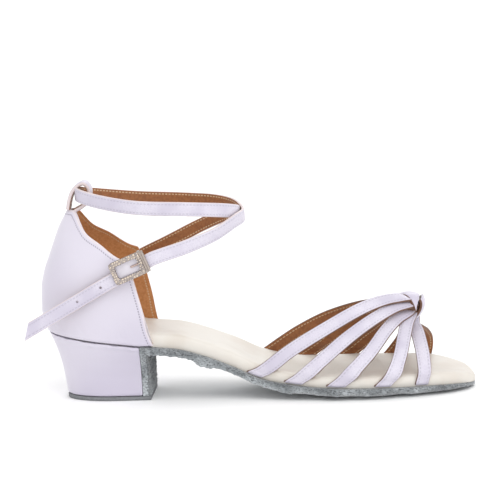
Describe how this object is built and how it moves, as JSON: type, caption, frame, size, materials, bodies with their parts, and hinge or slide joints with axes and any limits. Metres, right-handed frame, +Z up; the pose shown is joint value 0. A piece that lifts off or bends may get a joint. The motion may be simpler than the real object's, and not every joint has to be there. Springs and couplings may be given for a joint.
{
  "type": "ballroom dance sandal",
  "caption": "Open-toe satin ballroom dance sandal with a block heel, a fan of knotted vamp straps, a crossed ankle strap with a stone-set buckle, padded insole and suede sole.",
  "frame": {"origin": "on the floor under the middle of the heel tip", "axes": "+X runs along the shoe to the toe, -Y is the big toe's side, +Z is up"},
  "size_m": [0.2486, 0.0745, 0.1202],
  "materials": {
    "satin": "satin",
    "insole_cover": "satin",
    "suede": "matte",
    "tip_rubber": "matte",
    "buckle_metal": "polished"
  },
  "bodies": {
    "root": {"outsole": "suede", "heel": "satin", "heel_tip": "tip_rubber", "insole": "insole_cover", "counter": "satin", "vamp": "satin", "ankle_strap": "satin", "strap_keeper": "satin", "buckle_frame": "buckle_metal", "buckle_prong": "buckle_metal", "buckle_tab": "satin"}
  },
  "joints": []
}
